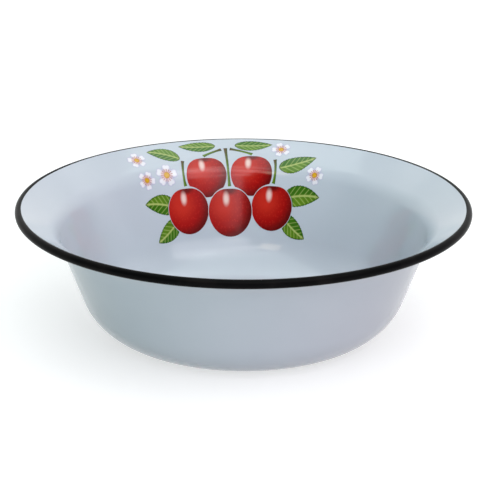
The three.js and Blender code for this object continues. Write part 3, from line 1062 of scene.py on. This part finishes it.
def print_films(context, kind, motifs, cuts, finish, slot):
    """Lays a film on the wall for each motif of one kind."""
    plane = PrintPlane(BowlSection(context.scene.bowl_sheet), context.scene.bowl_print)
    for number, motif in enumerate(motifs, start=1):
        piece = film(f"fired_{kind}_{number}", plane, motif, cuts)
        dress(piece, finish, slot, f"print_{kind}_{number}")


class BOWL_OT_cherry_prints(bpy.types.Operator):
    """Lays the printed cherries on the wall"""

    bl_idname = "bowl.cherry_prints"
    bl_label = "Cherries"

    def execute(self, context):
        motifs = [cherry_motif(cherry, CHERRIES[:index]) for index, cherry in enumerate(CHERRIES)]
        finish = fired_cherry_print(context.scene.bowl_colours)
        print_films(context, "cherry", motifs, CHERRY_CUTS, finish, "print_red")
        return {"FINISHED"}


class BOWL_OT_stalk_prints(bpy.types.Operator):
    """Lays the printed stalks on the wall"""

    bl_idname = "bowl.stalk_prints"
    bl_label = "Stalks"

    def execute(self, context):
        motifs = [stalk_motif(cherry) for cherry in CHERRIES]
        finish = fired_stalk_print(context.scene.bowl_colours)
        print_films(context, "stalk", motifs, STALK_CUTS, finish, "print_stem_green")
        return {"FINISHED"}


class BOWL_OT_leaf_prints(bpy.types.Operator):
    """Lays the printed leaves on the wall"""

    bl_idname = "bowl.leaf_prints"
    bl_label = "Leaves"

    def execute(self, context):
        motifs = [leaf_motif(leaf) for leaf in LEAVES]
        finish = fired_leaf_print(context.scene.bowl_colours)
        print_films(context, "leaf", motifs, LEAF_CUTS, finish, "print_leaf_green")
        return {"FINISHED"}


class BOWL_OT_blossom_prints(bpy.types.Operator):
    """Lays the printed blossoms and their hearts on the wall"""

    bl_idname = "bowl.blossom_prints"
    bl_label = "Blossoms"

    def execute(self, context):
        colours = context.scene.bowl_colours
        petals = [blossom_motif(blossom) for blossom in BLOSSOMS]
        print_films(context, "blossom", petals, BLOSSOM_CUTS, fired_petal_print(colours), "print_white")
        hearts = [heart_motif(blossom) for blossom in BLOSSOMS]
        print_films(context, "heart", hearts, HEART_CUTS, fired_heart_print(colours), "print_yellow")
        return {"FINISHED"}


# The studio

FLOOR_SIZE = 12.0  # in metres, as the softboxes' places and sizes are
FLOOR_CUTS = 8


def softbox(name, azimuth, elevation, distance, size, watts, tint=WHITE, mirrored=True, lighting=True):
    """A rectangular area lamp that faces the bowl, placed by its degrees from the front and above level.
    One that isn't mirrored gives light and leaves its place in reflections to the backdrop, and one that
    isn't lighting shows in reflections alone."""
    lamp = bpy.data.lights.new(name, "AREA")
    lamp.shape = "RECTANGLE"
    lamp.size, lamp.size_y = size
    lamp.energy = watts
    lamp.color = tint[:3]
    around, rise = math.radians(azimuth), math.radians(elevation)
    level = distance * math.cos(rise)
    place = Vector((level * math.sin(around), -level * math.cos(around), distance * math.sin(rise)))
    box = bpy.data.objects.new(name, lamp)
    box.location = place
    box.rotation_euler = (-place).to_track_quat("-Z", "Y").to_euler()
    box.visible_camera = False
    box.visible_glossy = mirrored
    box.visible_diffuse = lighting
    bpy.context.scene.collection.objects.link(box)


def studio_lamps(studio):
    softbox(
        "overhead_softbox", azimuth=0, elevation=89, distance=1.5, size=(1.6, 1.6),
        watts=studio.overhead_power, tint=studio.overhead_tint,
    )
    softbox(
        "rear_softbox", azimuth=180, elevation=58, distance=1.5, size=(2.4, 0.9),
        watts=studio.rear_power,
    )
    softbox(
        "top_softbox", azimuth=22, elevation=60, distance=1.35, size=(1.6, 0.55),
        watts=studio.top_power,
    )
    softbox(
        "key_softbox", azimuth=30, elevation=43, distance=1.6, size=(1.6, 1.0),
        watts=studio.key_power, tint=studio.key_tint,
    )
    softbox(
        "left_strip", azimuth=-32, elevation=9.5, distance=2.0, size=(1.9, 0.55),
        watts=studio.left_power, tint=studio.left_tint, mirrored=False,
    )
    softbox(
        "right_strip", azimuth=30, elevation=9.5, distance=2.0, size=(1.9, 0.55),
        watts=studio.right_power, tint=studio.right_tint, mirrored=False,
    )
    softbox(
        "back_panel", azimuth=180, elevation=12, distance=2.0, size=(3.2, 0.8),
        watts=studio.back_power, mirrored=False,
    )
    softbox(
        "catch_light", azimuth=6, elevation=33.5, distance=1.4, size=(0.5, 0.12),
        watts=studio.catch_power,
    )
    softbox(
        "warm_catch_light", azimuth=-25, elevation=45, distance=1.4, size=(0.34, 0.3),
        watts=studio.warm_power, tint=studio.warm_tint, lighting=False,
    )


def studio_floor(colours):
    mesh = bmesh.new()
    bmesh.ops.create_grid(mesh, x_segments=FLOOR_CUTS, y_segments=FLOOR_CUTS, size=FLOOR_SIZE / 2)
    floor = as_piece("studio_floor", mesh)
    floor.data.materials.append(matte_white_paper(colours))


def studio_world(studio):
    """A dim soft sky, a little cooler on the left. The camera sees it as white, and reflections show it
    with a white backdrop that stands behind the bowl and fades out upward."""
    full_height = math.sin(math.radians(30))
    fade_height = math.sin(math.radians(75))
    side_fade = 0.3
    world = bpy.data.worlds.new("studio_world")
    world.use_nodes = True
    tree = world.node_tree
    way = add_node(tree, "SeparateXYZ", {0: add_node(tree, "TexCoord").outputs["Generated"]})
    aside = add_node(tree, "MapRange", {"Value": way.outputs["X"], "From Min": -1.0, "From Max": 1.0})
    sky = add_node(
        tree, "Mix", {0: aside.outputs[0], 6: studio.left_sky, 7: studio.right_sky}, data_type="RGBA"
    )
    low = add_node(
        tree, "MapRange", {"Value": way.outputs["Z"], "From Min": fade_height, "From Max": full_height},
        interpolation_type="SMOOTHSTEP",
    )
    behind = add_node(
        tree, "MapRange", {"Value": way.outputs["Y"], "From Min": -side_fade, "From Max": side_fade},
        interpolation_type="SMOOTHSTEP",
    )
    backdrop = add_node(tree, "Math", {0: low.outputs[0], 1: behind.outputs[0]}, operation="MULTIPLY")
    mirrored = add_node(
        tree, "Math", {0: ray_of(tree, "Is Glossy Ray", "Is Transmission Ray"), 1: backdrop.outputs[0]},
        operation="MULTIPLY",
    )
    white = add_node(
        tree, "Math", {0: ray_of(tree, "Is Camera Ray"), 1: mirrored.outputs[0]}, operation="MAXIMUM"
    )
    shown = add_node(tree, "Mix", {0: white.outputs[0], 6: sky.outputs[2], 7: WHITE}, data_type="RGBA")
    tree.links.new(shown.outputs[2], tree.nodes["Background"].inputs["Color"])
    bpy.context.scene.world = world


def studio_camera(studio, rim_height):
    """Looks at the bowl from the front and above, with the lean that the picture has."""
    elevation = studio.camera_elevation
    ahead = studio.camera_distance * math.cos(elevation)
    above = studio.camera_distance * math.sin(elevation)
    place = Vector((0, -ahead, rim_height + above))
    aim = Vector((studio.aim_right, 0, studio.aim_height))
    forward = (aim - place).normalized()
    right = forward.cross(Vector((0, 0, 1))).normalized()
    up = right.cross(forward)
    lean = Matrix.Rotation(studio.camera_roll, 4, "Z")
    facing = Matrix((right, up, -forward)).transposed().to_4x4()
    camera = bpy.data.cameras.new("studio_camera")
    camera.lens = studio.lens
    stand = bpy.data.objects.new("studio_camera", camera)
    stand.matrix_world = Matrix.Translation(place) @ facing @ lean
    bpy.context.scene.collection.objects.link(stand)
    bpy.context.scene.camera = stand


class BOWL_OT_studio(bpy.types.Operator):
    """Sets the pale floor, the soft lamps, the sky and the camera"""

    bl_idname = "bowl.studio"
    bl_label = "Studio"

    def execute(self, context):
        scene = context.scene
        studio = scene.bowl_studio
        sheet = scene.bowl_sheet
        studio_floor(scene.bowl_colours)
        studio_world(studio)
        studio_lamps(studio)
        studio_camera(studio, sheet.bowl_height - sheet.bead_diameter / 2)
        scene.view_settings.view_transform = "Standard"
        return {"FINISHED"}


BUILD_STEPS = (
    BOWL_OT_steel_sheet,
    BOWL_OT_ground_coats,
    BOWL_OT_white_enamel,
    BOWL_OT_black_rim,
    BOWL_OT_cherry_prints,
    BOWL_OT_stalk_prints,
    BOWL_OT_leaf_prints,
    BOWL_OT_blossom_prints,
    BOWL_OT_studio,
)


class BOWL_PT_sidebar(bpy.types.Panel):
    """Lists the bowl's settings and the steps that build it"""

    bl_idname = "BOWL_PT_sidebar"
    bl_label = "Enamel Bowl"
    bl_space_type = "VIEW_3D"
    bl_region_type = "UI"
    bl_category = "Bowl"

    def draw(self, context):
        for name in SETTINGS:
            settings = getattr(context.scene, name)
            box = self.layout.box()
            for key in settings.__annotations__:
                box.prop(settings, key)
        for operator in BUILD_STEPS:
            self.layout.operator(operator.bl_idname)


SETTINGS = {
    "bowl_sheet": BowlSheetSizes,
    "bowl_print": BowlPrintSizes,
    "bowl_colours": BowlColours,
    "bowl_studio": BowlStudio,
}
CLASSES = (*SETTINGS.values(), *BUILD_STEPS, BOWL_PT_sidebar)


def register():
    for one in CLASSES:
        bpy.utils.register_class(one)
    for name, group in SETTINGS.items():
        setattr(bpy.types.Scene, name, bpy.props.PointerProperty(type=group))


def unregister():
    for name in SETTINGS:
        delattr(bpy.types.Scene, name)
    for one in reversed(CLASSES):
        bpy.utils.unregister_class(one)


def main():
    register()
    bpy.ops.bowl.steel_sheet()
    bpy.ops.bowl.ground_coats()
    bpy.ops.bowl.white_enamel()
    bpy.ops.bowl.black_rim()
    bpy.ops.bowl.cherry_prints()
    bpy.ops.bowl.stalk_prints()
    bpy.ops.bowl.leaf_prints()
    bpy.ops.bowl.blossom_prints()
    bpy.ops.bowl.studio()


if __name__ == "__main__":
    main()
